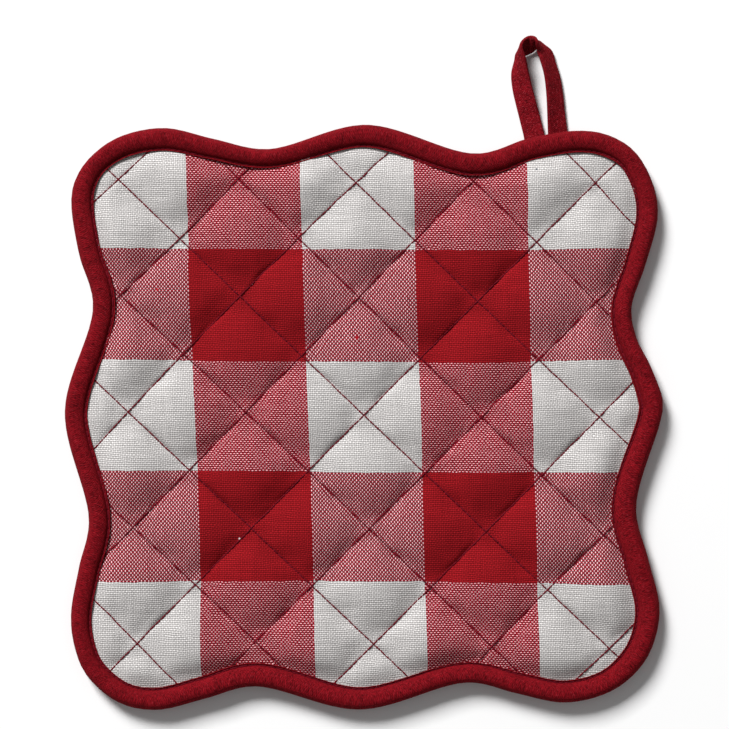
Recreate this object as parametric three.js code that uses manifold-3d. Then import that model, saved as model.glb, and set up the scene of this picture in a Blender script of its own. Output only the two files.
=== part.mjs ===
// A quilted pot holder: a wavy-edged square of checked cloth over wadding, sewn through in a diamond
// lattice, bound with one folded strip of bias cloth and hung by a loop of tape at one corner.
//
// Millimetres, +Z up. It lies face up on z = 0 with its loop towards +Y, and the origin is under the
// middle of the whole thing, loop included. The tables below are measured from the middle of the cloth.

import * as THREE from 'three';
import { mergeVertices } from 'three/addons/utils/BufferGeometryUtils.js';
import Module from 'manifold-3d';

const wasm = await Module();
wasm.setup();

// Heights, from the surface that it lies on
const clearance = 0.3;
const tapeThickness = 1.2;
const middle = 4.0;
const quilting = { face: middle + 1.6, back: middle - 1.6 };
const crown = { face: 8.3, back: -0.3 };
const hem = { top: middle + 0.9, bottom: middle - 0.9 };

// The diamond lattice: where two lines cross near the middle, and the steps from one line to the next
const crossing = new THREE.Vector2(0.1, 1.4);
const stepDown = new THREE.Vector2(20.72, -19.9);
const stepUp = new THREE.Vector2(19.27, 19.42);
const cellsAcross = 10;
const pillowSteps = [0, 0.12, 0.36, 0.64, 0.88];
const pillowRoundness = 0.55;
const rimSlope = 8;

// The wavy edge, clockwise from the left of the top left corner: x, y, width of the binding there
const edgeRows = [
  // top left corner and the top side
  [-99.5, 74, 7.7], [-97.8, 81.4, 7.7], [-93, 88.4, 7.7], [-83.3, 95.2, 7.7], [-68, 98.3, 7.8],
  [-50.7, 94.5, 7.1], [-33, 91.1, 6.6], [0.7, 99.4, 7.8], [38.4, 89.6, 7.7], [56.4, 94.9, 7.5],
  // top right corner and the right side
  [73.8, 97.4, 7.5], [83.6, 95.7, 7.5], [92.1, 90.3, 7.5], [98.3, 79.4, 7.5], [100, 68.5, 7.5],
  [95.7, 51.5, 7.1], [91, 36.9, 7], [101.7, 5.3, 8.3], [92.6, -30.8, 8.5], [96.7, -48.1, 8.5],
  // bottom right corner and the bottom side
  [100.6, -65.1, 8.5], [98.3, -77.7, 8.2], [93.3, -86, 8], [84, -93.3, 7.8], [68.7, -97.1, 7.7],
  [52, -94, 7.3], [35.5, -90.3, 7.1], [-1.4, -99.5, 7.5], [-37.4, -91.6, 8.2], [-53.7, -95.7, 7.8],
  // bottom left corner and the left side
  [-70.7, -99.6, 7.7], [-83.3, -97.1, 7.5], [-94.2, -87.9, 7.3], [-98.3, -78.4, 7.1], [-99.6, -67.5, 7.1],
  [-96.9, -51.2, 7.3], [-93.5, -35.2, 7.5], [-101.7, 1.9, 7.8], [-92.1, 37.9, 7.8], [-96.9, 55.6, 7.7],
];
const stationCount = 132;

// The binding's folded section, in order round it: inset as a share of its width, height from middle
const foldDepth = 0.18;
const bindingSection = [
  // over the face: the lip at the inner edge, the sewn groove, the roll, the fold at the outer edge
  [1, 1.8], [0.94, 2.1], [0.84, 1.9], [0.66, 2.35], [0.4, 2.5], [0.15, 1.9], [0.02, 0.8],
  // back under it to the inner edge
  [0.02, -0.8], [0.15, -1.9], [0.4, -2.5], [0.86, -2.4], [1, -2],
  // inside, round the hem of the quilted cloth
  [1, -1.2], [foldDepth, -1.2], [foldDepth, 1.2], [1, 1.2],
];

// The tape of the loop, a row for each section from its left end over the top to its right end:
// near edge x, y and far edge x, y. The near edge rises as far as the tape's width asks
const tapeWidth = 6.8;
const tapeRows = [
  [62.0, 89.6, 55.2, 88.7], [61.7, 95.5, 54.8, 94.5], [60.2, 102.2, 53.4, 100.6],
  [58.4, 108.0, 52.0, 106.4], [56.8, 113.2, 50.6, 112.0], [55.2, 118.0, 50.5, 117.8],
  [54.2, 122.1, 51.4, 121.4], [53.4, 125.5, 52.8, 122.6], [54.3, 127.9, 54.6, 123.5],
  [56.5, 129.4, 56.6, 124.1], [58.5, 128.4, 58.8, 125.0], [59.3, 126.5, 61.6, 125.9],
  [59.9, 124.1, 64.0, 123.9], [60.8, 121.0, 65.1, 120.9], [61.7, 116.1, 66.4, 115.9],
  [62.1, 111.0, 67.5, 110.8], [62.4, 105.9, 68.2, 105.7], [62.6, 100.8, 68.8, 100.6],
  [62.8, 95.7, 69.6, 95.5], [63.0, 89.6, 69.9, 89.6],
];
const tapeSteps = { perRow: 3, across: 2 };

// Solids and geometries
const sameVertex = 1e-4;

function toSolid(geometry) {
  geometry.deleteAttribute('normal');
  geometry.deleteAttribute('uv');
  const merged = mergeVertices(geometry, sameVertex);
  return new wasm.Manifold(new wasm.Mesh({
    numProp: 3,
    vertProperties: Float32Array.from(merged.attributes.position.array),
    triVerts: Uint32Array.from(merged.index.array),
  }));
}

function toGeometry(solid) {
  const { vertProperties, triVerts } = solid.getMesh();
  const geometry = new THREE.BufferGeometry();
  geometry.setAttribute('position', new THREE.BufferAttribute(vertProperties, 3));
  geometry.setIndex(new THREE.BufferAttribute(triVerts, 1));
  geometry.computeVertexNormals();
  return geometry;
}

// The edge as stations: a point, the inward normal and the binding's width

function edgeStations() {
  const rows = edgeRows.map(([x, y, width]) => new THREE.Vector3(x, y, width));
  const edge = new THREE.CatmullRomCurve3(rows, true, 'centripetal');
  return Array.from({ length: stationCount }, (_, i) => {
    const at = edge.getPointAt(i / stationCount);
    const along = edge.getTangentAt(i / stationCount);
    return {
      point: new THREE.Vector2(at.x, at.y),
      inward: new THREE.Vector2(along.y, -along.x).normalize(),
      width: at.z,
    };
  });
}

const stations = edgeStations();

function insetPoint(station, inset) {
  return station.point.clone().addScaledVector(station.inward, inset);
}

function insetPlate(insetAt, bottom, top) {
  const shape = new THREE.Shape(stations.map((station) => insetPoint(station, insetAt(station))));
  const plate = new THREE.ExtrudeGeometry(shape, { depth: top - bottom, bevelEnabled: false });
  return plate.translate(0, 0, bottom);
}

// How far a point lies inside the binding's inner edge, or zero under the binding and beyond it
function insideBinding(x, y) {
  const point = new THREE.Vector3(x, y, 0);
  const nearest = new THREE.Vector3();
  let least = Infinity;
  let inside = false;
  stations.forEach((station, i) => {
    const next = stations[(i + 1) % stations.length];
    const from = insetPoint(station, station.width);
    const to = insetPoint(next, next.width);
    const line = new THREE.Line3(new THREE.Vector3(from.x, from.y, 0), new THREE.Vector3(to.x, to.y, 0));
    line.closestPointToPoint(point, true, nearest);
    const distance = nearest.distanceTo(point);
    if (distance < least) {
      least = distance;
      inside = (x - nearest.x) * station.inward.x + (y - nearest.y) * station.inward.y > 0;
    }
  });
  return inside ? least : 0;
}

// The quilted pad: checked cloth, wadding and backing as one filled piece

function pillow(t) {
  const share = t - Math.floor(t);
  return Math.pow(4 * share * (1 - share), pillowRoundness);
}

function quiltedSlab() {
  const perCell = pillowSteps.length;
  const steps = cellsAcross * perCell;
  const slab = new THREE.BoxGeometry(1, 1, 1, steps, steps, 1);
  const position = slab.attributes.position;
  const lineAt = (share) => {
    const index = Math.round((share + 0.5) * steps);
    return Math.floor(index / perCell) + pillowSteps[index % perCell] - cellsAcross / 2;
  };
  for (let i = 0; i < position.count; i += 1) {
    const down = lineAt(position.getX(i));
    const up = lineAt(position.getY(i));
    const x = crossing.x + stepDown.x * down + stepUp.x * up;
    const y = crossing.y + stepDown.y * down + stepUp.y * up;
    const rise = pillow(down) * pillow(up);
    const rim = Math.sqrt(THREE.MathUtils.smoothstep(insideBinding(x, y), 0, rimSlope));
    const side = position.getZ(i) > 0 ? 'face' : 'back';
    const height = THREE.MathUtils.lerp(quilting[side], crown[side], rise * rim);
    position.setXYZ(i, x, y, Math.max(height, 0));
  }
  return slab;
}

function quiltedPad() {
  const past = 1;
  const cut = insetPlate((station) => station.width + clearance, -past, crown.face + past);
  const edge = insetPlate((station) => station.width * foldDepth + clearance, hem.bottom, hem.top);
  return toGeometry(toSolid(quiltedSlab()).intersect(toSolid(cut)).add(toSolid(edge)));
}

// The binding: its folded section carried round the edge

function edgeBinding() {
  const section = bindingSection.map(([inset, height]) => new THREE.Vector2(inset, height));
  section.push(section[0].clone());
  const ring = new THREE.LatheGeometry(section, stations.length);
  const position = ring.attributes.position;
  for (let i = 0; i < position.count; i += 1) {
    const station = stations[Math.floor(i / section.length) % stations.length];
    const { x: share, y: height } = section[i % section.length];
    const at = insetPoint(station, share * station.width);
    position.setXYZ(i, at.x, at.y, middle + height);
  }
  return toGeometry(toSolid(ring));
}

// The hanging loop: a flat tape between a near and a far edge, which stands on edge at its shoulders

function tapeEdges() {
  const near = [];
  const far = [];
  tapeRows.forEach(([nearX, nearY, farX, farY]) => {
    const apart = Math.hypot(nearX - farX, nearY - farY);
    const rise = Math.sqrt(Math.max(tapeWidth ** 2 - apart ** 2, 0));
    near.push(new THREE.Vector3(nearX, nearY, tapeThickness / 2 + rise));
    far.push(new THREE.Vector3(farX, farY, tapeThickness / 2));
  });
  return [near, far].map((points) => new THREE.CatmullRomCurve3(points, false, 'centripetal'));
}

function hangingLoop() {
  const [near, far] = tapeEdges();
  const along = (tapeRows.length - 1) * tapeSteps.perRow;
  const tape = new THREE.BoxGeometry(1, 1, 1, along, tapeSteps.across, 1);
  const position = tape.attributes.position;
  for (let i = 0; i < position.count; i += 1) {
    const share = position.getX(i) + 0.5;
    const nearness = position.getY(i) + 0.5;
    const nearAt = near.getPoint(share);
    const farAt = far.getPoint(share);
    nearAt.z = Math.max(nearAt.z, tapeThickness / 2);
    const run = far.getTangent(share).lerp(near.getTangent(share), nearness);
    const face = farAt.clone().sub(nearAt).cross(run).normalize();
    const at = farAt.lerp(nearAt, nearness).addScaledVector(face, position.getZ(i) * tapeThickness);
    position.setXYZ(i, at.x, at.y, at.z);
  }
  return toGeometry(toSolid(tape));
}

function piece(name, geometry, color, roughness) {
  const mesh = new THREE.Mesh(geometry, new THREE.MeshStandardMaterial({ color, roughness, metalness: 0 }));
  mesh.name = name;
  return mesh;
}

const potHolder = new THREE.Group();
potHolder.add(
  piece('quilted_pad', quiltedPad(), 0xb9737a, 0.95),
  piece('edge_binding', edgeBinding(), 0x78121c, 0.9),
  piece('hanging_loop', hangingLoop(), 0x74121b, 0.9),
);
const reach = new THREE.Box3().setFromObject(potHolder).getCenter(new THREE.Vector3());
potHolder.position.set(-reach.x, -reach.y, 0);

export default potHolder;
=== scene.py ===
# %% [markdown]
# This scene dresses a quilted pot holder. The measured model gives three plain solids in metres:
# the quilted pad, the binding round its edge and the hanging loop. Each of them is made again
# here as cloth, in the same place, and the sewing thread is added. The model is loaded first,
# because every size below starts from it.

# %% Load the measured model
import math

import bmesh
import bpy
import numpy as np
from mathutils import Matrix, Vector
from mathutils.bvhtree import BVHTree


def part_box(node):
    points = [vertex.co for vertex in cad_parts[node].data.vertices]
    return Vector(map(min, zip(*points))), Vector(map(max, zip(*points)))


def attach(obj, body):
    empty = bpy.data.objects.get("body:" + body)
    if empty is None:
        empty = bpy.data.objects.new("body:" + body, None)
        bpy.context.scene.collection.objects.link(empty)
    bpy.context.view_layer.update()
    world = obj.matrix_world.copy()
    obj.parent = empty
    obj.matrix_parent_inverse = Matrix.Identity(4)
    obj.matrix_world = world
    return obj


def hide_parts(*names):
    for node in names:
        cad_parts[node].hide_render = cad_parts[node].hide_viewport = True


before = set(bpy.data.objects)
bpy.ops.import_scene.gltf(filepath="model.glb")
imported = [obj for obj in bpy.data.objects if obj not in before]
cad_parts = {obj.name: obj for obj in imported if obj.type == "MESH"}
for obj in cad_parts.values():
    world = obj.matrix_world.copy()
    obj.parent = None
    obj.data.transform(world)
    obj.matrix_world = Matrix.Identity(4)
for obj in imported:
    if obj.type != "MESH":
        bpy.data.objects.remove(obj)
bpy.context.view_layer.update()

mm = 0.001

# %% [markdown]
# The pot holder lies face up, and we look straight down at it from well above, through a long
# lens, so that its edges stay square. The whole picture is 248 mm wide at the height of the
# cloth. A camera's width of view is its sensor's width times distance over focal length, which
# gives the distance.

# %% Camera
picture_width = 247.9 * mm
cloth_height = 4 * mm
lens_length = 120
sensor_width = 36
camera_distance = picture_width * lens_length / sensor_width
camera_place = Vector((0.19 * mm, 2.69 * mm, cloth_height + camera_distance))

bpy.ops.object.select_all(action="DESELECT")
bpy.ops.object.camera_add(location=camera_place, rotation=(0, 0, 0))
camera = bpy.context.object
camera.name = "camera"
camera.data.lens = lens_length
camera.data.sensor_width = sensor_width
bpy.context.scene.camera = camera
print("camera height in mm:", round(camera_place.z / mm))

# %% [markdown]
# Cloth shows its quilting by light from one side. A soft light stands beyond the top left corner,
# rather low, so that the pillows are bright on one side and dark on the other, and an even pale
# surround fills the shadows. Together they make the white floor come out nearly white.

# %% Light and floor
key_bearing = math.radians(31)
key_rise = math.radians(36)
key_distance = 5.0
key_size = 1.6
key_power = 384.0
surround = 0.20
floor_colour = (0.96, 0.96, 0.96, 1)
floor_roughness = 0.9
floor_size = 4
floor_drop = 0.2 * mm

towards_key = Vector((
    -math.sin(key_bearing) * math.cos(key_rise),
    math.cos(key_bearing) * math.cos(key_rise),
    math.sin(key_rise),
))
bpy.ops.object.light_add(type="AREA", location=towards_key * key_distance)
key = bpy.context.object
key.name = "key_light"
key.data.size = key_size
key.data.energy = key_power
key.rotation_euler = towards_key.to_track_quat("Z", "Y").to_euler()

world = bpy.data.worlds.new("surround")
world.use_nodes = True
world.node_tree.nodes["Background"].inputs["Color"].default_value = (1, 1, 1, 1)
world.node_tree.nodes["Background"].inputs["Strength"].default_value = surround
bpy.context.scene.world = world
bpy.context.scene.view_settings.view_transform = "Standard"

bpy.ops.mesh.primitive_plane_add(size=floor_size, location=(0, 0, -floor_drop))
floor = bpy.context.object
floor.name = "floor"
floor_material = bpy.data.materials.new("floor")
floor_material.use_nodes = True
floor_shader = floor_material.node_tree.nodes["Principled BSDF"]
floor_shader.inputs["Base Color"].default_value = floor_colour
floor_shader.inputs["Roughness"].default_value = floor_roughness
floor_shader.inputs["Specular IOR Level"].default_value = 0
floor.data.materials.append(floor_material)

# %% [markdown]
# All three pieces follow smooth curves through a few measured points. This is the same kind of
# curve that the model was drawn with: it passes through each point, and its speed there depends
# on how far away its neighbours are, so it never loops or overshoots.

# %% Smooth curves through points
def smooth_curve(points, closed, per_span):
    points = np.array(points, dtype=float)
    if closed:
        around = np.vstack([points[-1], points, points[0], points[1]])
    else:
        first = 2 * points[0] - points[1]
        last = 2 * points[-1] - points[-2]
        around = np.vstack([first, points, last])
    before, start, end, after = around[:-3], around[1:-2], around[2:-1], around[3:]

    def gap(one, other):
        return np.sqrt(np.linalg.norm(other - one, axis=1))[:, None]

    first_gap, gap_here, last_gap = gap(before, start), gap(start, end), gap(end, after)
    leave = (start - before) / first_gap - (end - before) / (first_gap + gap_here)
    leave = (leave + (end - start) / gap_here) * gap_here
    arrive = (after - end) / last_gap - (after - start) / (gap_here + last_gap)
    arrive = (arrive + (end - start) / gap_here) * gap_here
    t = np.linspace(0, 1, per_span, endpoint=False)[None, :, None]
    start, end, leave, arrive = (part[:, None, :] for part in (start, end, leave, arrive))
    bend = -3 * start + 3 * end - 2 * leave - arrive
    twist = 2 * start - 2 * end + leave + arrive
    curve = (start + leave * t + bend * t**2 + twist * t**3).reshape(-1, points.shape[1])
    return curve if closed else np.vstack([curve, points[-1]])


def evenly_spaced(curve, count, closed):
    """Points the same distance apart along a curve, and its length, both by x and y alone"""
    loop = np.vstack([curve, curve[0]]) if closed else curve
    steps = np.linalg.norm(np.diff(loop[:, :2], axis=0), axis=1)
    reached = np.concatenate([[0], np.cumsum(steps)])
    wanted = np.linspace(0, reached[-1], count, endpoint=not closed)
    columns = [np.interp(wanted, reached, loop[:, i]) for i in range(loop.shape[1])]
    return np.column_stack(columns), reached[-1]


# %% [markdown]
# The edge is not a plain square: each side bulges out in the middle and draws in twice beside it,
# and the corners are round. No two waves are quite the same, because the cloth was cut and bound
# by hand. The rows are millimetres from the middle of the cloth, clockwise from the left of the
# top left corner: x, y and how wide the binding is there.

# %% The wavy edge
edge_rows = [
    # the top left corner and the top side
    (-99.5, 74, 7.7), (-97.8, 81.4, 7.5), (-93, 88.4, 7.1), (-83.3, 95.2, 7.5), (-68, 98.3, 7.8),
    (-50.7, 94.5, 7.1), (-33, 91.1, 6.6), (0.7, 99.4, 7.8), (38.4, 89.6, 7.7), (56.4, 94.9, 7.5),
    # the top right corner and the right side
    (73.8, 97.4, 7.5), (83.6, 95.7, 7.5), (92.1, 90.3, 7.1), (98.3, 79.4, 7.3), (100, 68.5, 7.5),
    (95.7, 51.5, 7.1), (91, 36.9, 7), (92.9, 26.5, 7.5), (97.4, 17.6, 7.8), (101.7, 5.3, 8.5),
    (101.0, -0.9, 8.1), (92.6, -30.8, 8.5), (96.7, -48.1, 8.5),
    # the bottom right corner and the bottom side
    (100.6, -65.1, 8.5), (98.3, -77.7, 8.4), (93.3, -86, 8.3), (84, -93.3, 7.8),
    (68.7, -97.1, 7.7), (52, -94, 7.3), (35.5, -90.3, 7.1), (-1.4, -99.5, 7.8),
    (-37.4, -91.6, 8.2), (-53.7, -95.7, 7.8),
    # the bottom left corner and the left side
    (-70.7, -99.6, 7.7), (-83.3, -97.1, 7.5), (-94.2, -87.9, 7.3), (-98.3, -78.4, 7.1),
    (-99.6, -67.5, 7.1), (-96.9, -51.2, 7.3), (-93.5, -35.2, 7.5), (-101.7, 1.9, 7.8),
    (-92.1, 37.9, 7.8), (-96.9, 55.6, 7.7),
]
station_count = 900
edge_steps = 60
points_at_once = 4000

edge, edge_length = evenly_spaced(smooth_curve(edge_rows, True, edge_steps), station_count, True)
edge_point = edge[:, :2]
edge_width = edge[:, 2]
along = np.roll(edge_point, -1, axis=0) - np.roll(edge_point, 1, axis=0)
along /= np.linalg.norm(along, axis=1)[:, None]
inward = np.column_stack([along[:, 1], -along[:, 0]])

binding_low, binding_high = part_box("edge_binding")
binding_middle = np.array((binding_low + binding_high)[:2]) / 2 / mm
middle_of_cloth = binding_middle - (edge_point.min(axis=0) + edge_point.max(axis=0)) / 2
print("edge length in mm:", round(edge_length), "middle of cloth:", middle_of_cloth.round(2))


def to_metres(plan, height):
    return np.column_stack([plan + middle_of_cloth, height]) * mm


def nearest_station(plan):
    return np.concatenate([
        np.argmin(((part[:, None, :] - edge_point[None]) ** 2).sum(axis=2), axis=1)
        for part in np.array_split(plan, 1 + len(plan) // points_at_once)
    ])


def inset_of(plan):
    """How far inside the edge each point lies, and the station of the edge that is nearest"""
    at = nearest_station(plan)
    return ((plan - edge_point[at]) * inward[at]).sum(axis=1), at


# %% [markdown]
# Shader nodes are clumsy to write one by one, so this small class wraps a node's socket and lets
# us write sums. Adding or multiplying two wires adds a Math node for it. Every other node comes
# from one method: the kind of node, its settings, and what goes into its sockets.

# %% Wires for writing materials
class Wire:
    def __init__(self, tree, socket=None):
        self.tree = tree
        self.socket = socket

    def node(self, kind, settings, inputs, output=0):
        new = self.tree.nodes.new(kind)
        for name, value in settings.items():
            setattr(new, name, value)
        for name, value in inputs.items():
            if isinstance(value, Wire):
                self.tree.links.new(value.socket, new.inputs[name])
            else:
                new.inputs[name].default_value = value
        return Wire(self.tree, new.outputs[output])

    def math(self, operation, *values):
        return self.node("ShaderNodeMath", {"operation": operation}, dict(enumerate(values)))

    def __add__(self, other):
        return self.math("ADD", self, other)

    def __radd__(self, other):
        return self.math("ADD", other, self)

    def __sub__(self, other):
        return self.math("SUBTRACT", self, other)

    def __rsub__(self, other):
        return self.math("SUBTRACT", other, self)

    def __mul__(self, other):
        return self.math("MULTIPLY", self, other)

    def __rmul__(self, other):
        return self.math("MULTIPLY", other, self)

    def __truediv__(self, other):
        return self.math("DIVIDE", self, other)


def new_material(name):
    material = bpy.data.materials.new(name)
    material.use_nodes = True
    return material, Wire(material.node_tree)


def ramp(value, low, high, to_low=0.0, to_high=1.0):
    settings = {"interpolation_type": "SMOOTHSTEP"}
    reach = {"From Min": low, "From Max": high, "To Min": to_low, "To Max": to_high}
    return value.node("ShaderNodeMapRange", settings, {"Value": value, **reach})


def mix_colours(share, one, other):
    return share.node("ShaderNodeMix", {"data_type": "RGBA"}, {0: share, 6: one, 7: other}, 2)


def scale_colour(share, colour):
    settings = {"data_type": "RGBA", "blend_type": "MULTIPLY"}
    grey = share.node("ShaderNodeCombineColor", {}, {0: share, 1: share, 2: share})
    return share.node("ShaderNodeMix", settings, {0: 1.0, 6: colour, 7: grey}, 2)


def noise(wire, x, y, detail=2.0, roughness=0.5):
    place = wire.node("ShaderNodeCombineXYZ", {}, {0: x, 1: y})
    settings = {"noise_dimensions": "2D"}
    inputs = {"Vector": place, "Scale": 1.0, "Detail": detail, "Roughness": roughness}
    return wire.node("ShaderNodeTexNoise", settings, inputs)


def cloth_place(wire):
    """The two coordinates on the cloth that a piece's points carry"""
    place = wire.node("ShaderNodeUVMap", {"uv_map": "cloth"}, {})
    first = wire.node("ShaderNodeSeparateXYZ", {}, {0: place})
    return first, Wire(wire.tree, first.socket.node.outputs[1])


# Cloth hardly shines
cloth_shine = 0.05
cloth_roughness = 0.95


def finish(material, wire, colour, height, bump_size, roughness):
    shader = material.node_tree.nodes["Principled BSDF"]
    shader.inputs["Roughness"].default_value = roughness
    shader.inputs["Specular IOR Level"].default_value = cloth_shine
    material.node_tree.links.new(colour.socket, shader.inputs["Base Color"])
    inputs = {"Strength": 1.0, "Distance": bump_size, "Height": height}
    bumped = wire.node("ShaderNodeBump", {}, inputs)
    material.node_tree.links.new(bumped.socket, shader.inputs["Normal"])


# %% [markdown]
# Plain weave is the simplest cloth: each crosswise thread, the weft, goes over one lengthwise
# thread, the warp, and under the next. Along a thread its height is a cosine wave, and across it
# the thread is round, so the height of both sets can be written as formulas. Whichever is higher
# at a point is the one we see there. The inputs count threads from 0, so x is 3 in the middle of
# the fourth warp thread.

# %% Plain weave
weave_lift = 0.5


def plain_weave(wire, x, y, round_warp, round_weft, sunk=0.0):
    wave_x = wire.math("COSINE", x * math.pi)
    wave_y = wire.math("COSINE", y * math.pi)
    off_x = x - wire.math("ROUND", x)
    off_y = y - wire.math("ROUND", y)
    over = wire.math("SIGN", wave_x) * wave_y * weave_lift
    under = wire.math("SIGN", wave_y) * wave_x * -weave_lift
    warp = over - off_x * off_x * (4 * round_warp) - sunk
    weft = under - off_y * off_y * (4 * round_weft)
    return warp, weft


# %% [markdown]
# Stripes of red and white threads run both ways, and where both threads are red the square is
# red, where both are white it is white, and where they differ the eye sees pink. So the material
# never paints a pink square: it gives each thread its own colour and lets the weave mix them.
# The white threads there lie deep between fatter red ones and are painted pink, as painted
# reflected light from the red around them. The cloth's own coordinates count checks from its
# bottom left corner.

# %% Threads of the check
warp_threads = 64
weft_threads = 54
white_yarn = (0.765, 0.735, 0.72, 1)
red_yarn = (0.365, 0.0110, 0.0165, 1)
# Painted reflected light: white threads among red are painted pink
white_painted_pink_among_red = (0.98, 0.56, 0.59, 1)
# Painted light and shade: the one red yarn is painted lighter in the warp and darker in the weft,
# for how each set of threads catches the light
red_warp_among_white = (0.36, 0.012, 0.026, 1)
red_weft_among_white = (0.27, 0.010, 0.021, 1)
warp_sunk = 0.3
warp_roundness = 0.7
weft_roundness = 0.92
red_over_white_weft = 1.17
red_over_white_warp = 0.33
crossing_softness = 0.12

# Height of a gap, and in pairs, for one colour and for red among white: the height that is in
# full light, how dark the painted shade in a gap is and how specked a thread is. Below full light
# the threads are painted darker: painted shade down their round sides and in the gaps
gap_level = -0.57
full_level = (0.36, 0.16)
gap_painted_shade = (0.27, 0.05)
unevenness = (1.5, 3.0)

# Thick places in the yarn, a fleck and a speck: place and size in checks, and colour
slubs = [
    (0.72, 3.63, 0.016, (0.38, 0.010, 0.018, 1)),
    (2.46, 3.21, 0.020, (0.36, 0.010, 0.018, 1)),
    (1.35, 1.38, 0.013, (0.85, 0.70, 0.70, 1)),
    (4.082, 4.725, 0.013, (0.10, 0.11, 0.13, 1)),
]
print("threads to a check:", warp_threads, weft_threads)

# %% [markdown]
# Spun cotton is uneven: each thread wanders a little and has its own shade. Noise stretched along
# the threads gives that, and finer noise the fibres. Where two patterns should differ, one is
# shifted to another part of the noise.

# %% Check cloth
check_bump = 0.1 * mm
wander = 0.9
wander_pace = 9
wander_shift = 40
shade_pace = 1.3
shade_pace_along_warp = 0.06
shade_pace_along_weft = 0.05
shade_shift = 60
shade_strength = 0.9
shade_bump = 0.3
fibre_pace = 2.6
slub_core = 0.4


def stripes(wire, number, per_check):
    """1 in every second stripe of threads, from the second stripe on, and 0 between them"""
    within = wire.math("MODULO", number + 0.5, 2 * per_check)
    return wire.math("GREATER_THAN", within, per_check)


def one_or_mixed(mixed, values):
    """The first value where the threads have one colour, and the second where they differ"""
    one, other = values
    return one + mixed * (other - one)


def check_cloth():
    material, wire = new_material("check_cloth")
    u, v = cloth_place(wire)
    wander_x = noise(wire, u * wander_pace, v * wander_pace)
    wander_y = noise(wire, u * wander_pace + wander_shift, v * wander_pace)
    x = u * warp_threads - 0.5 + (wander_x - 0.5) * wander
    y = v * weft_threads - 0.5 + (wander_y - 0.5) * wander
    roundness = (warp_roundness, weft_roundness)
    warp_height, weft_height = plain_weave(wire, x, y, *roundness, warp_sunk)
    warp_red = stripes(wire, wire.math("ROUND", x), warp_threads)
    weft_red = stripes(wire, wire.math("ROUND", y), weft_threads)
    mixed = wire.math("ABSOLUTE", warp_red - weft_red)

    # Where the colours meet, the fatter red threads hide part of the white ones
    warp_ahead = warp_red * (1 - weft_red) * red_over_white_weft
    weft_ahead = weft_red * (1 - warp_red) * red_over_white_warp
    lead = warp_height - weft_height + warp_ahead - weft_ahead
    warp_shows = ramp(lead, -crossing_softness, crossing_softness)
    shown_red = warp_red * warp_shows + weft_red * (1 - warp_shows)
    height = wire.math("MAXIMUM", warp_height, weft_height)

    # Each thread's own shade and its fibres, and painted shade down the threads' sides and in the
    # gaps between them
    warp_shade = noise(wire, x * shade_pace, y * shade_pace_along_warp, 3.0, 0.6)
    weft_shade = noise(wire, x * shade_pace_along_weft, y * shade_pace + shade_shift, 3.0, 0.6)
    shade = warp_shade * warp_shows + weft_shade * (1 - warp_shows)
    fibre = noise(wire, x * fibre_pace, y * fibre_pace, 2.0, 0.7)
    specks = one_or_mixed(mixed, unevenness)
    uneven = 1 + (shade - 0.5) * shade_strength + (fibre - 0.5) * specks
    full = one_or_mixed(mixed, full_level)
    gap = one_or_mixed(mixed, gap_painted_shade)
    light = ramp(height, gap_level, full, gap, 1.0) * uneven

    white = mix_colours(mixed, white_yarn, white_painted_pink_among_red)
    red_among_white = mix_colours(warp_red, red_weft_among_white, red_warp_among_white)
    red = mix_colours(mixed, red_yarn, red_among_white)
    colour = scale_colour(light, mix_colours(shown_red, white, red))
    for slub_u, slub_v, size, slub_colour in slubs:
        away = wire.math("SQRT", (u - slub_u) * (u - slub_u) + (v - slub_v) * (v - slub_v))
        colour = mix_colours(ramp(away, size * slub_core, size, 1.0, 0.0), colour, slub_colour)
    finish(material, wire, colour, height + shade * shade_bump, check_bump, cloth_roughness)
    return material


# %% [markdown]
# The binding and the loop are plain red cloth cut on the bias, at 45 degrees to its threads, so
# that it stretches round the curves. It is a finer cloth, so the two sets of threads can hardly be
# told apart and it looks softly speckled. Its coordinates are in millimetres along and across the
# strip.

# %% Bias cloth
bias_pitch = 0.5
bias_roundness = 0.6
# Painted shade: below the full level the weave is painted darker, down to this share of its colour
# in the gaps
bias_gap_level = -0.5
bias_full_level = 0.35
bias_gap_painted_shade = 0.45
bias_bump = 0.08 * mm
binding_red = (0.186, 0.0045, 0.0088, 1)
lint_pink = (0.52, 0.055, 0.075, 1)
binding_lint = 0.2
loop_lint = 0.55
fluff_level = (0.56, 0.74)
fibre_bump = 0.35

# How fast each pattern changes, by threads and then by mm, where it is shifted to, its strength
thread_pace = 1.2
thread_pace_along = 0.08
thread_shift = 30
thread_strength = 0.9
fibres_per_mm = 1.7
fibre_strength = 2.4
patches_per_mm = 0.35
patch_shift = 20
patch_strength = 0.6
fluff_per_mm = 2.1
fluff_shift = 50


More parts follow.
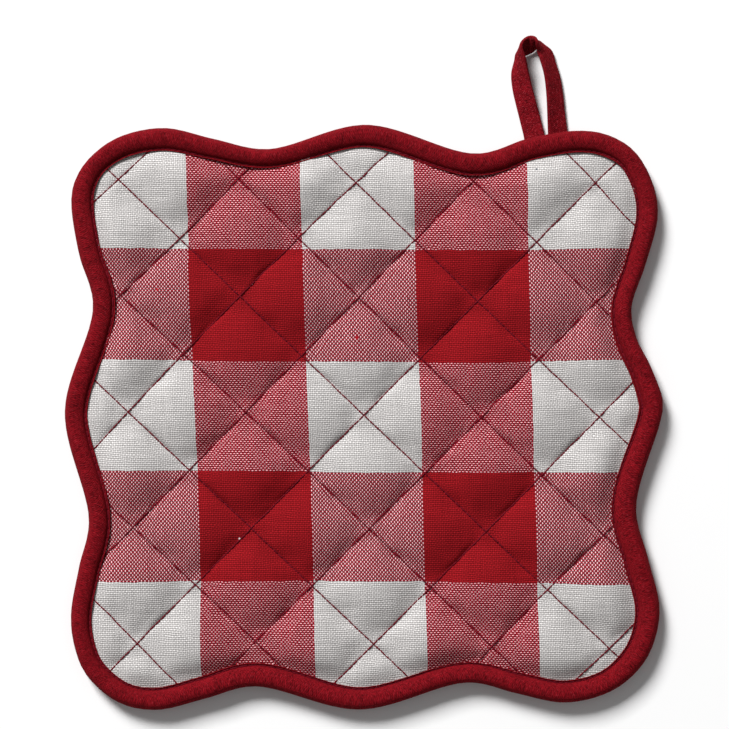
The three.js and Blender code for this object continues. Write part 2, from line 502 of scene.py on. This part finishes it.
def bias_cloth(name, lint):
    material, wire = new_material(name)
    run, across = cloth_place(wire)
    step = bias_pitch * math.sqrt(2)
    x = (run + across) / step
    y = (run - across) / step
    warp_height, weft_height = plain_weave(wire, x, y, bias_roundness, bias_roundness)
    height = wire.math("MAXIMUM", warp_height, weft_height)
    warp = noise(wire, x * thread_pace, y * thread_pace_along, 3.0, 0.6)
    weft = noise(wire, x * thread_pace_along, y * thread_pace + thread_shift, 3.0, 0.6)
    fibre = noise(wire, run * fibres_per_mm, across * fibres_per_mm, 3.0, 0.75)
    patch = noise(wire, run * patches_per_mm, across * patches_per_mm + patch_shift)
    fluff = noise(wire, run * fluff_per_mm + fluff_shift, across * fluff_per_mm, 2.0, 0.6)
    uneven = 1 + (warp + weft - 1) * thread_strength + (fibre - 0.5) * fibre_strength
    uneven = uneven + (patch - 0.5) * patch_strength
    # Painted shade down the threads' sides and in the gaps, times the uneven tone
    light = ramp(height, bias_gap_level, bias_full_level, bias_gap_painted_shade, 1.0) * uneven
    colour = scale_colour(light, binding_red)
    colour = mix_colours(ramp(fluff, *fluff_level) * lint, colour, lint_pink)
    finish(material, wire, colour, height + fibre * fibre_bump, bias_bump, cloth_roughness)
    return material


# %% [markdown]
# A few helpers for meshes. A primitive is added, its points are read as one array, moved by a
# formula and written back, which is quicker than moving them one at a time.

# %% Helpers for meshes
def points_of(piece):
    flat = np.empty(len(piece.data.vertices) * 3)
    piece.data.vertices.foreach_get("co", flat)
    return flat.reshape(-1, 3)


def move_points(piece, points):
    piece.data.vertices.foreach_set("co", np.ascontiguousarray(points, dtype=np.float32).ravel())
    piece.data.update()


def corner_points(piece):
    corners = np.empty(len(piece.data.loops), dtype=np.int32)
    piece.data.loops.foreach_get("vertex_index", corners)
    return corners


def lay_cloth(piece, coordinates):
    layer = piece.data.uv_layers.new(name="cloth")
    layer.data.foreach_set("uv", np.ascontiguousarray(coordinates, dtype=np.float32).ravel())


def new_grid(name, columns, rows):
    """A flat grid, and the column and row that each of its points is in"""
    bpy.ops.object.select_all(action="DESELECT")
    bpy.ops.mesh.primitive_grid_add(x_subdivisions=columns, y_subdivisions=rows, size=1)
    piece = bpy.context.object
    piece.name = name
    share = points_of(piece)[:, :2] + 0.5
    column, row = np.rint(share * (columns, rows)).astype(int).T
    return piece, column, row


def apply_modifier(piece, kind, **settings):
    bpy.ops.object.select_all(action="DESELECT")
    piece.select_set(True)
    bpy.context.view_layer.objects.active = piece
    modifier = piece.modifiers.new(kind.lower(), kind)
    for name, value in settings.items():
        setattr(modifier, name, value)
    bpy.ops.object.modifier_apply(modifier=modifier.name)


def face_outwards():
    """Turns the faces of the piece in hand outwards, and smooths it"""
    bpy.ops.object.mode_set(mode="EDIT")
    bpy.ops.mesh.select_all(action="SELECT")
    bpy.ops.mesh.normals_make_consistent(inside=False)
    bpy.ops.object.mode_set(mode="OBJECT")
    bpy.ops.object.shade_smooth()


def triangle_count(piece):
    return sum(len(face.vertices) - 2 for face in piece.data.polygons)


# %% [markdown]
# The pad is two layers of cloth with wadding between them, sewn through in a lattice of slanting
# lines. A place on it is counted in sewn lines, first towards the lower right and then towards
# the upper right. No line was sewn quite straight, so each has a small bend of its own.

# %% The sewn lattice
crossing = np.array((0.27, 1.11))
step_down = np.array((20.72, -19.9))
step_up = np.array((19.27, 19.42))
cell_side = 28.5
cells_across = 10

# How far each sewn line strays from its straight place, at its start, middle and end, from the
# first line to the last, and how many steps each line reaches from its middle
rising_lines = [
    (1.3, 0.5, 0.0), (1.4, 0.3, 0.6), (-0.6, 0.8, -0.7), (-0.1, 0.5, 0.9), (-0.1, -0.1, -0.5),
    (0.6, 0.0, -0.4), (0.3, 0.0, 0.3), (-0.3, 0.0, -0.5), (0.3, -0.2, -0.3),
]
falling_lines = [
    (0.2, -0.3, -0.8), (-0.4, 0.4, 0.6), (-0.6, 0.0, 0.5), (-1.2, 0.1, 0.3), (-0.5, -0.5, 0.2),
    (0.8, -0.5, -0.7), (0.1, -0.5, -0.2), (0.6, 0.4, -0.3), (2.0, 1.4, 0.3),
]
line_reach = (4.4, 3.3, 2.6, 1.2, 0.5)


def stray(rows, line, travel):
    """How far a point between the sewn lines strays, from the two lines beside it"""
    rows = np.array(rows)
    beyond = len(rows) // 2
    low = np.floor(line).astype(int)

    def at(number):
        number = np.clip(number, -beyond, beyond)
        t = np.clip(travel / np.array(line_reach)[np.abs(number)], -1, 1)
        start, middle, end = rows[number + beyond].T
        return middle + (end - start) / 2 * t + ((start + end) / 2 - middle) * t**2

    return at(low) + (at(low + 1) - at(low)) * (line - low)


def on_lattice(down, up):
    straight = crossing + down[:, None] * step_down + up[:, None] * step_up
    left_up = np.array((-step_up[1], step_up[0])) / np.linalg.norm(step_up)
    right_up = np.array((-step_down[1], step_down[0])) / np.linalg.norm(step_down)
    rising = stray(rising_lines, down, up)[:, None] * left_up
    falling = stray(falling_lines, up, down)[:, None] * right_up
    return straight + rising + falling


def to_nearest_line(down, up):
    """How far each point is from the nearest sewn line, in parts of a cell"""
    return np.minimum(np.abs(down - np.round(down)), np.abs(up - np.round(up)))


print("cell sides in mm:", [round(math.hypot(*step), 1) for step in (step_down, step_up)])

# %% [markdown]
# Between the lines the wadding swells into small pillows. A pillow's height across it is a flat
# arch, and one arch times the other gives the whole pillow. The thread pulls a sharp notch at each
# seam. Towards the binding the pad thins to a low rim, which goes on under the binding's lip.

# %% Pillows
middle_height = 4.0
seam_height = 1.25
crown_height = 4.5
seam_notch = 0.2
seam_notch_width = 0.5
arch_roundness = 0.85
rim_height = 0.38
rim_slope = 7.0
under_slope = 0.35
under_least = 0.25

# Pillows differ a little in fullness, by a wave over numbers that mix up the cells
fullness_mean = 0.94
fullness_spread = 0.06
mix_down = 37
mix_up = 101
mix_wave = 1.7


def arch(share):
    within = share - np.floor(share)
    return (4 * within * (1 - within)) ** arch_roundness


def pillow_heights(down, up, inside):
    """How far each face lies from the pad's middle, at points so far inside the binding's lip"""
    cell = np.floor(down) * mix_down + np.floor(up) * mix_up
    fullness = fullness_mean + fullness_spread * np.sin(cell * mix_wave)
    rise = arch(down) * arch(up) * fullness
    to_line = to_nearest_line(down, up) * cell_side
    notch = seam_notch * np.exp(-((to_line / seam_notch_width) ** 2))
    height = seam_height + (crown_height - seam_height) * rise - notch
    share = np.clip(inside / rim_slope, 0, 1)
    rim = 1 - (1 - share) ** 2
    under = np.maximum(rim_height + np.minimum(inside, 0) * under_slope, under_least)
    return under + (height - under) * rim


print("top of the fullest pillow in mm:", middle_height + crown_height)

# %% [markdown]
# The check was woven before the cloth was cut and quilted, so it lies slightly askew and its
# stripes aren't quite straight. The edges between them are given at five places each, and the
# cloth between follows.

# %% Where the check lies
check_count = 5
check_width = 38.2
check_depth = 37.65
check_lean = 0.028
check_middle = (0.14, 0.46)

# How far each edge between two checks strays, at five places across the cloth
stray_places = (-80, -40, 0, 40, 80)
upright_edges = [
    (-0.4, 0.55, 0.0, -0.9, -0.7), (0.1, 0.4, 0.1, -0.35, -0.4),
    (0.1, -0.05, 0.25, -0.25, 0.0), (-0.1, -0.2, -0.15, -0.2, 0.3),
]
level_edges = [
    (0.1, 0.55, 0.4, 0.05, -0.9), (0.25, 0.15, -0.45, -0.5, -0.4),
    (0.3, -0.3, -0.4, -0.85, 0.1), (0.4, 0.0, 0.0, -0.4, 0.25),
]


def edge_stray(rows, line, travel):
    """How far the check's own lines stray at a place, from the two edges beside it"""
    bent = np.array([np.interp(travel, stray_places, row) for row in rows])
    number = np.clip(line - 1, 0, len(rows) - 1)
    low = np.minimum(np.floor(number).astype(int), len(rows) - 2)
    place = np.arange(len(line))
    return bent[low, place] + (bent[low + 1, place] - bent[low, place]) * (number - low)


def check_coordinates(plan):
    """Where a point of the cloth lies on the check, counted in checks from the bottom left"""
    x, y = plan.T
    across = (x + check_lean * y - check_middle[0]) / check_width + check_count / 2
    upward = (y - check_middle[1]) / check_depth + check_count / 2
    bend_x = edge_stray(upright_edges, across, y)
    bend_y = edge_stray(level_edges, upward, x)
    return np.column_stack([across - bend_x / check_width, upward - bend_y / check_depth])


print("check in mm:", check_width, "by", check_depth)

# %% [markdown]
# A flat grid is laid along the lattice, with its lines close together at each seam and wider apart
# on the pillows. It is cut to the wavy edge and given two faces, and then each point is raised or
# lowered to its height.

# %% The quilted pad as sewn
arch_steps = (0, 0.015, 0.055, 0.13, 0.235, 0.365, 0.5, 0.635, 0.765, 0.87, 0.945, 0.985)
rim_inset = 2.2
beside_lip = 0.9
pinned_inside = 0.5
almost_none = 0.001
first_thickness = 1 * mm
floor_gap = 0.02


def lattice_lines():
    cells = np.repeat(np.arange(cells_across), len(arch_steps)) - cells_across / 2
    lines = cells + np.tile(arch_steps, cells_across)
    return np.append(lines, cells_across / 2)


def cut_away(piece, outside):
    """Deletes the faces that are wholly outside, and gives the numbers of the points left"""
    mesh = bmesh.new()
    mesh.from_mesh(piece.data)
    gone = [face for face in mesh.faces if all(outside[corner.index] for corner in face.verts)]
    number = mesh.verts.layers.int.new("number")
    for point in mesh.verts:
        point[number] = point.index
    bmesh.ops.delete(mesh, geom=gone, context="FACES")
    mesh.to_mesh(piece.data)
    mesh.free()
    kept = np.empty(len(piece.data.vertices), dtype=np.int32)
    piece.data.attributes["number"].data.foreach_get("value", kept)
    piece.data.attributes.remove(piece.data.attributes["number"])
    return kept


def make_pad():
    lines = lattice_lines()
    per_side = len(lines) - 1
    pad, column, row = new_grid("padded_cloth", per_side, per_side)
    down, up = lines[column], lines[row]
    plan = on_lattice(down, up)
    inset, station = inset_of(plan)

    # The points that are left outside the rim are drawn back to it
    kept = cut_away(pad, inset < rim_inset)
    down, up, plan, inset, station = (part[kept] for part in (down, up, plan, inset, station))
    short = np.maximum(rim_inset - inset, 0)
    plan = plan + inward[station] * short[:, None]
    inset = np.maximum(inset, rim_inset)

    # Points close to the lip of the binding go onto it, but for those on a sewn line
    to_line = to_nearest_line(down, up)
    inside = inset - edge_width[station]
    near_lip = (np.abs(inside) < beside_lip) & (to_line > almost_none)
    onto_lip = np.where(near_lip, -inside, 0)
    plan = plan + inward[station] * onto_lip[:, None]
    inside = inset + onto_lip - edge_width[station]
    move_points(pad, to_metres(plan, np.full(len(plan), middle_height)))

    # Cloth coordinates in checks, before the thickness doubles the points
    lay_cloth(pad, check_coordinates(plan)[corner_points(pad)])
    apply_modifier(pad, "SOLIDIFY", thickness=first_thickness, offset=0)
    points = points_of(pad)
    assert len(points) == 2 * len(plan)
    lift = np.tile(pillow_heights(down, up, inside), 2)
    upper = points[:, 2] > middle_height * mm
    lower_height = np.maximum(middle_height - lift, floor_gap)
    height = np.where(upper, middle_height + lift, lower_height)
    move_points(pad, to_metres(np.tile(plan, (2, 1)), height))
    sewn = np.tile((to_line < almost_none) | (inside < pinned_inside), 2)
    return pad, sewn


pad, sewn = make_pad()
print("pad points:", len(pad.data.vertices), "sewn down:", int(sewn.sum()))

# %% [markdown]
# So far every pillow is the same smooth arch, and real cloth is never that even. The sewn lines
# are pinned and the rest is left to Blender's cloth simulation for a moment, with air pressure
# inside for the wadding and the cloth a little too big for its frame, as quilting makes it. It
# swells and creases by itself. No point may move further than a small limit, so the size stays.

# %% Let the wadding swell
farthest_move = 0.5 * mm
moments = 20


def swell(piece, pinned, farthest):
    before = points_of(piece)
    group = piece.vertex_groups.new(name="sewn")
    group.add(np.nonzero(pinned)[0].tolist(), 1.0, "REPLACE")
    cloth = piece.modifiers.new("cloth", "CLOTH")
    settings = cloth.settings
    settings.quality = 4
    settings.mass = 0.2
    settings.tension_stiffness = 12
    settings.compression_stiffness = 12
    settings.shear_stiffness = 3
    settings.bending_stiffness = 0.05
    settings.vertex_group_mass = "sewn"
    settings.shrink_min = -0.025
    settings.use_pressure = True
    settings.uniform_pressure_force = 4
    settings.effector_weights.gravity = 0
    cloth.collision_settings.use_collision = False
    cloth.collision_settings.use_self_collision = False
    scene = bpy.context.scene
    for moment in range(1, moments + 1):
        scene.frame_set(moment)
    shaped = piece.evaluated_get(bpy.context.evaluated_depsgraph_get())
    after = np.empty(len(before) * 3)
    shaped.data.vertices.foreach_get("co", after)
    move = after.reshape(-1, 3) - before
    piece.modifiers.remove(cloth)
    scene.frame_set(1)
    far = np.linalg.norm(move, axis=1)
    print("cloth moved mm, mean and most:", (far.mean() / mm).round(2), (far.max() / mm).round(2))
    move *= np.minimum(1, farthest / np.maximum(far, 1e-9))[:, None]
    after = before + move
    after[:, 2] = np.maximum(after[:, 2], floor_gap * mm)
    move_points(piece, after)
    piece.vertex_groups.remove(group)


swell(pad, sewn, farthest_move)
apply_modifier(pad, "SUBSURF", levels=1, render_levels=1, uv_smooth="NONE")
bpy.ops.object.shade_smooth()
pad.data.materials.append(check_cloth())
pad_tree = BVHTree.FromPolygons(
    [point.co for point in pad.data.vertices],
    [tuple(face.vertices) for face in pad.data.polygons],
)
print("pad triangles:", triangle_count(pad))

# %% [markdown]
# The binding is one strip of bias cloth, folded round the edge and stitched down near its inner
# side. A torus is a ring with a round section, so it is a good start: its points are sent to the
# wavy edge, and its round section to the folded one. The stitches pull a narrow groove, and leave
# a lip standing beside it. The lip is wider on the right, where the sewing strayed, and that is
# also where the two ends of the strip are joined with a slanting fold.

# %% The binding
binding_outside = [
    # share of the width from the outer edge, height from the middle of the edge: over the face
    (1.0, 1.1), (0.99, 1.4), (0.97, 1.45), (0.94, 0.9), (0.905, 0.7), (0.865, 1.0), (0.81, 1.7),
    (0.72, 2.18), (0.58, 2.6), (0.43, 2.85), (0.3, 2.85), (0.17, 2.4), (0.06, 1.4), (0.0, 0.0),
    # and under it
    (0.06, -1.4), (0.17, -2.4), (0.3, -2.85), (0.43, -2.85), (0.58, -2.6), (0.72, -2.18),
    (0.81, -1.7), (0.865, -1.0), (0.905, -0.7), (0.94, -0.9), (0.97, -1.45), (0.99, -1.4),
    (1.0, -1.1),
]
binding_inside = [
    # round the hem of the quilted cloth
    (0.97, -0.6), (0.88, -0.35), (0.6, -0.8), (0.24, -0.9), (0.18, 0.0), (0.24, 0.9), (0.6, 0.8),
    (0.88, 0.35), (0.97, 0.6),
]
section_count = 60
section_steps = 12
usual_width = 7.7
stitch_pitch = 2.5
groove_share = 0.905
groove_sway = ((5, 0.012, 1.0), (13, 0.010, 2.5))
wide_lip_middle = (94.0, 14.0)
wide_lip_reach = 26.0
wide_lip_share = 0.07
join_place = (97.0, 11.5)
join_slant = 7.5


def groove_of(station):
    """The share of the width at which the strip is stitched down, at each station"""
    turn = 2 * np.pi * station / station_count
    sway = sum(size * np.sin(waves * turn + start) for waves, size, start in groove_sway)
    away = np.linalg.norm(edge_point[station % station_count] - wide_lip_middle, axis=1)
    return groove_share + sway - wide_lip_share * np.exp(-((away / wide_lip_reach) ** 4))


def ring_places(ring):
    """The station along the edge and the step round the section, on a ring 1 in radius"""
    turn = np.arctan2(ring[:, 1], ring[:, 0]) / (2 * np.pi)
    roll = np.arctan2(ring[:, 2], np.hypot(ring[:, 0], ring[:, 1]) - 1) / (2 * np.pi)
    station = np.rint(turn * station_count).astype(int) % station_count
    step = np.rint(roll * section_count).astype(int) % section_count
    return station, step


print("stitches along the binding:", round(edge_length / stitch_pitch))

# %% [markdown]
# What makes the strip look sewn is small: it is fuller here and there, each stitch pinches its
# groove, the cloth creases beside it, and at the join one end lies folded over the other. All of
# it is added to the section's height.

# %% What sewing does to the strip
wobble_waves = ((17, 0.05), (41, 0.04), (83, 0.03))
full_turn = 6.28
groove_half_width = 0.05
pinch_height = 0.12
crease_height = 0.035
crease_pace_along = 2.4
crease_pace_across = 9
crease_end = 0.8
fold_height = 0.42
fold_reach = 7
dip_depth = 0.3
dip_reach = 1.5
dice = np.random.default_rng(7)


def join_height(travel, share):
    """How far the end that is folded over stands up, and how far the strip dips before it"""
    join_station = nearest_station(np.array([join_place]))[0]
    join_travel = join_station / station_count * edge_length
    past_join = travel - join_travel + join_slant * (share - 0.5)
    fold_over = fold_height * np.exp(-np.maximum(past_join, 0) / fold_reach) * (past_join > 0)
    dip_before = dip_depth * np.exp(np.minimum(past_join, 0) / dip_reach) * (past_join <= 0)
    return fold_over - dip_before


def sewn_height(station, share, groove, outside):
    """What sewing adds to the height of each point, away from the middle of the edge"""
    travel = station / station_count * edge_length
    beside_groove = np.exp(-(((share - groove) / groove_half_width) ** 2)) * outside
    wobble = np.zeros(len(station))
    for waves, size in wobble_waves:
        start = dice.uniform(0, full_turn)
        wobble += size * np.sin(2 * np.pi * waves * station / station_count + start)
    wobble *= (1 - beside_groove) * outside
    pinch = pinch_height * beside_groove * np.cos(2 * np.pi * travel / stitch_pitch)
    crease = crease_height * np.sin(travel * crease_pace_along + share * crease_pace_across)
    crease *= (share < crease_end) * outside
    overlap = join_height(travel, share) * (share < groove) * outside
    return wobble + pinch + crease + overlap


# %% [markdown]
# Now the ring is made and bent to shape. Its cloth coordinates are millimetres along the strip
# and across it, so the weave has the same size all round.

# %% Make the binding
def unrolled(binding, station, step, strip_length, strip_width):
    """Cloth coordinates of the faces' corners, which go on past the end where a face wraps"""
    corners = corner_points(binding)
    around = np.column_stack([station[corners] / station_count, step[corners] / section_count])
    around = around.reshape(-1, 4, 2)
    wraps = (around.max(axis=1) - around.min(axis=1) > 0.5)[:, None, :]
    around = around + (wraps & (around < 0.5))
    return around.reshape(-1, 2) * (strip_length, strip_width)


def make_binding():
    bpy.ops.object.select_all(action="DESELECT")
    bpy.ops.mesh.primitive_torus_add(major_segments=station_count, minor_segments=section_count)
    binding = bpy.context.object
    binding.name = "binding_strip"
    station, step = ring_places(points_of(binding))
    curve = smooth_curve(binding_outside + binding_inside, True, section_steps)
    outer_curve = curve[:section_steps * (len(binding_outside) - 1) + 1]
    section, round_length = evenly_spaced(curve, section_count, True)
    _, outer_length = evenly_spaced(outer_curve, 2, False)
    share, rise = section[step].T
    outside = step < outer_length / round_length * section_count

    # The groove strays in and out, and the roll and the lip beside it give way
    groove = groove_of(station)
    lip = 1 - (1 - share) * (1 - groove) / (1 - groove_share)
    moved = np.where(share < groove_share, share * groove / groove_share, lip)
    share = np.where(outside, moved, share)
    rise = rise + np.sign(rise) * sewn_height(station, share, groove, outside)
    inset = share * edge_width[station]
    plan = edge_point[station] + inward[station] * inset[:, None]
    move_points(binding, to_metres(plan, middle_height + rise))

    width = np.linalg.norm(np.diff(section * (usual_width, 1), axis=0), axis=1).sum()
    lay_cloth(binding, unrolled(binding, station, step, edge_length, width))
    face_outwards()
    binding.data.materials.append(bias_cloth("binding_cloth", binding_lint))
    return binding, width


binding, strip_width = make_binding()
print("binding triangles:", triangle_count(binding), "strip width mm:", round(strip_width, 1))

# %% [markdown]
# The loop is a folded tape, 7 mm wide. Its two ends are sewn under the binding, and at the
# top it is turned over, so that we look at its edge there and into its dark inside. Its near and
# far edges are two curves, and the tape is stretched between them. Each row is a place along the
# tape: the near edge's x and y, then the far edge's. Where the edges lie closer together than the
# tape is wide, it stands on edge, and its near side rises.

# %% The hanging loop
tape_width = 7.0
tape_thickness = 1.15
tape_rows = [
    (62.0, 89.6, 55.2, 88.7), (61.7, 95.5, 54.8, 94.5), (60.2, 102.2, 53.4, 100.6),
    (58.5, 108.0, 52.0, 106.4), (57.0, 113.4, 50.8, 112.0), (55.7, 118.3, 50.5, 117.2),
    (54.6, 122.3, 51.6, 121.3), (53.3, 125.7, 52.3, 123.7), (54.1, 128.0, 54.3, 123.2),
    (56.2, 129.5, 56.3, 123.8), (57.9, 128.9, 58.3, 125.2), (58.5, 127.4, 59.4, 128.0),
    (58.6, 125.8, 61.7, 126.7), (59.0, 124.1, 64.2, 124.6), (60.1, 121.0, 65.2, 121.4),
    (61.4, 116.1, 66.7, 116.6), (62.1, 110.5, 67.8, 110.6), (62.4, 105.4, 68.4, 105.3),
    (62.6, 100.4, 69.0, 100.2), (62.8, 95.7, 69.6, 95.5), (63.0, 89.6, 69.9, 89.6),
]
tape_section = [
    # across from the far edge to the near one, and through the thickness: over the face
    (-1.0, 0.3), (-0.97, 0.75), (-0.86, 0.97), (-0.4, 1.0), (0.3, 0.97), (0.85, 0.97), (0.97, 0.7),
    (1.0, 0.0), (0.97, -0.7), (0.85, -0.97), (0.3, -0.97), (-0.4, -1.0), (-0.86, -0.97),
    (-0.97, -0.75), (-1.0, -0.3),
    # and between the two layers, which are open at the far edge
    (-0.96, -0.12), (-0.5, -0.1), (0.5, -0.1), (0.84, 0.0), (0.5, 0.1), (-0.5, 0.1), (-0.96, 0.12),
]
tape_steps = 12
tape_sides = 48
tape_rest = 0.6
tape_floor = 0.03
weld = 0.01 * mm


def make_loop():
    rows = np.array(tape_rows)
    apart = np.hypot(rows[:, 0] - rows[:, 2], rows[:, 1] - rows[:, 3])
    rise = np.sqrt(np.maximum(tape_width**2 - apart**2, 0))
    level = np.full(len(rows), tape_rest)
    near = smooth_curve(np.column_stack([rows[:, :2], tape_rest + rise]), False, tape_steps)
    far = smooth_curve(np.column_stack([rows[:, 2:], level]), False, tape_steps)
    near[:, 2] = np.maximum(near[:, 2], tape_rest)
    run_near = np.gradient(near, axis=0)
    run_far = np.gradient(far, axis=0)

    steps = len(near) - 1
    loop, step, row = new_grid("loop_of_tape", steps, tape_sides)
    turn = row % tape_sides
    curve = smooth_curve(tape_section, True, section_steps)
    section, _ = evenly_spaced(curve, tape_sides, True)
    thick = section[turn, 1]
    nearness = 0.5 + 0.5 * section[turn, 0]
    run = run_far[step] + (run_near[step] - run_far[step]) * nearness[:, None]
    face = np.cross(far[step] - near[step], run)
    face /= np.linalg.norm(face, axis=1)[:, None]
    middle = far[step] + (near[step] - far[step]) * nearness[:, None]
    points = middle + face * (thick * tape_thickness / 2)[:, None]
    points[:, 2] = np.maximum(points[:, 2], tape_floor)
    move_points(loop, to_metres(points[:, :2], points[:, 2]))

    # Cloth coordinates: millimetres along the tape, and round both sides of its two layers
    centre = (near + far) / 2
    length = np.concatenate([[0], np.cumsum(np.linalg.norm(np.diff(centre, axis=0), axis=1))])
    coordinates = np.column_stack([length[step], row / tape_sides * 4 * tape_width])
    lay_cloth(loop, coordinates[corner_points(loop)])

    # The grid's two long sides are joined, and its two ends closed
    bpy.ops.object.mode_set(mode="EDIT")
    bpy.ops.mesh.select_all(action="SELECT")
    bpy.ops.mesh.remove_doubles(threshold=weld)
    bpy.ops.mesh.select_all(action="SELECT")
    bpy.ops.mesh.fill_holes(sides=0)
    bpy.ops.object.mode_set(mode="OBJECT")
    face_outwards()
    loop.data.materials.append(bias_cloth("loop_tape", loop_lint))
    return loop, length[-1]


loop, loop_length = make_loop()
print("loop triangles:", triangle_count(loop), "tape length mm:", round(loop_length, 1))

# %% [markdown]
# A row of machine stitches looks like short grains of thread end to end, each dipping into the
# cloth at both ends. One grain is modelled from a small sphere and copied along the lines. There
# are thousands of them, so all copies go into one mesh at once, as arrays.

# %% A grain of thread
thread_thickness = 0.56
stitch_share = 1.04
grain_bluntness = 0.5
grain_droop = 0.35
strand_size = 0.5 * mm
thread_dark = (0.07, 0.004, 0.009, 1)
thread_light = (0.20, 0.008, 0.018, 1)
thread_roughness = 0.8
thread_bump = 0.05 * mm


def sewing_thread():
    material, wire = new_material("thread")
    place = wire.node("ShaderNodeTexCoord", {}, {}, "Object")
    inputs = {"Vector": place, "Scale": 1 / strand_size, "Detail": 2.0}
    strand = wire.node("ShaderNodeTexNoise", {}, inputs)
    colour = mix_colours(strand, thread_dark, thread_light)
    finish(material, wire, colour, strand, thread_bump, thread_roughness)
    return material


def one_grain():
    """A sphere pulled out into a blunt grain, with its long side along x"""
    bpy.ops.object.select_all(action="DESELECT")
    bpy.ops.mesh.primitive_uv_sphere_add(segments=6, ring_count=5, radius=1)
    grain = bpy.context.object
    points = points_of(grain)
    faces = [tuple(face.vertices) for face in grain.data.polygons]
    bpy.data.objects.remove(grain)
    long = np.sign(points[:, 2]) * np.abs(points[:, 2]) ** grain_bluntness
    return np.column_stack([long, points[:, 0], points[:, 1]]), faces


grain_points, grain_faces = one_grain()
print("points and faces of a grain:", len(grain_points), len(grain_faces))

# %% [markdown]
# To sew a row, each grain is turned along its stitch, stretched to its length and bent down at
# both ends. On the back of the pot holder, down is up.

# %% Sew rows of stitches
def between(plan):
    """Where each stitch of a line starts and ends: slightly longer than the step it covers"""
    gap = (plan[1:] - plan[:-1]) * (1 - stitch_share) / 2
    return plan[:-1] + gap, plan[1:] - gap


def sew(name, rows):
    """One grain from each start to each end, with 1 or -1 for the face or the back"""
    starts, ends, sides = (np.concatenate(part) for part in zip(*rows))
    ups = np.outer(sides, (0.0, 0.0, 1.0))
    middle = (starts + ends) / 2
    run = ends - starts
    length = np.linalg.norm(run, axis=1)[:, None]
    run = run / length
    across = np.cross(ups, run)
    across /= np.linalg.norm(across, axis=1)[:, None]
    over = np.cross(run, across)
    radius = thread_thickness / 2 * mm
    x, y, z = (grain_points[:, i][None, :, None] for i in range(3))
    droop = -grain_droop * radius * x**4
    points = middle[:, None] + run[:, None] * x * length[:, None] / 2
    points = points + across[:, None] * y * radius + over[:, None] * (z * radius + droop)
    count = len(grain_points)
    faces = [
        tuple(corner + i * count for corner in face)
        for i in range(len(starts))
        for face in grain_faces
    ]
    mesh = bpy.data.meshes.new(name)
    mesh.from_pydata(points.reshape(-1, 3).tolist(), [], faces)
    piece = bpy.data.objects.new(name, mesh)
    bpy.context.scene.collection.objects.link(piece)
    mesh.shade_smooth()
    return piece


# %% [markdown]
# The quilting follows the lattice, on the face and the back, and a little way under the binding.
# A ray sent at the pad from each end of a stitch finds how high the cloth is there. No stitch is
# quite in line with the next.

# %% Quilting stitches
stitch_scatter = 0.06
quilting_raise = 0.10
under_binding = 2.6
fewest_points = 3
ray_start = 0.05


def height_on_pad(plan, side):
    """The pad's height in mm at points of the plan, seen from above or below"""
    found = []
    for x, y in (plan + middle_of_cloth) * mm:
        hit = pad_tree.ray_cast(Vector((x, y, side * ray_start)), Vector((0, 0, -side)))
        found.append(hit[0].z / mm if hit[0] else middle_height)
    return np.array(found)


def quilting_line(fixed, varies):
    """Points a stitch apart along one line of the lattice, as far as under the binding"""
    spacing = stitch_pitch / cell_side
    t = np.arange(-cells_across / 2, cells_across / 2, spacing)
    steady = np.full(len(t), float(fixed))
    plan = on_lattice(steady, t) if varies == "up" else on_lattice(t, steady)
    inset, station = inset_of(plan)
    plan = plan + dice.normal(0, stitch_scatter, plan.shape)
    return plan[inset > edge_width[station] - under_binding]


def quilting_stitches():
    rows = []
    for number in range(-cells_across // 2, cells_across // 2 + 1):
        for varies in ("up", "down"):
            plan = quilting_line(number, varies)
            if len(plan) < fewest_points:
                continue
            first, last = between(plan)
            for side in (1, -1):
                low = height_on_pad(first, side) + side * quilting_raise
                high = height_on_pad(last, side) + side * quilting_raise
                sides = np.full(len(first), side)
                rows.append((to_metres(first, low), to_metres(last, high), sides))
    return sew("quilting_thread", rows)


thread_material = sewing_thread()
quilting = quilting_stitches()
quilting.data.materials.append(thread_material)
print("quilting triangles:", triangle_count(quilting))

# %% [markdown]
# The row along the binding lies in its groove. Its height there is known from the section, so no
# ray is needed.

# %% Stitches along the binding
edging_height = 0.85


def binding_stitches():
    count = round(edge_length / stitch_pitch)
    marks = np.arange(count + 1) * station_count / count
    columns = [np.append(column, column[0]) for column in (*edge_point.T, *inward.T, edge_width)]
    x, y, in_x, in_y, width = (np.interp(marks, np.arange(station_count + 1), c) for c in columns)
    groove = groove_of(np.rint(marks).astype(int))
    plan = np.column_stack([x, y]) + np.column_stack([in_x, in_y]) * (width * groove)[:, None]
    first, last = between(plan)
    rows = []
    for side in (1, -1):
        height = np.full(count, middle_height + side * edging_height)
        sides = np.full(count, side)
        rows.append((to_metres(first, height), to_metres(last, height), sides))
    return sew("binding_thread", rows)


edging = binding_stitches()
edging.data.materials.append(thread_material)
print("edging triangles:", triangle_count(edging))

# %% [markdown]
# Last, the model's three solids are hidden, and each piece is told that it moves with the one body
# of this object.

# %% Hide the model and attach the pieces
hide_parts("quilted_pad")
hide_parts("edge_binding")
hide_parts("hanging_loop")
for piece in (pad, binding, loop, quilting, edging):
    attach(piece, "root")
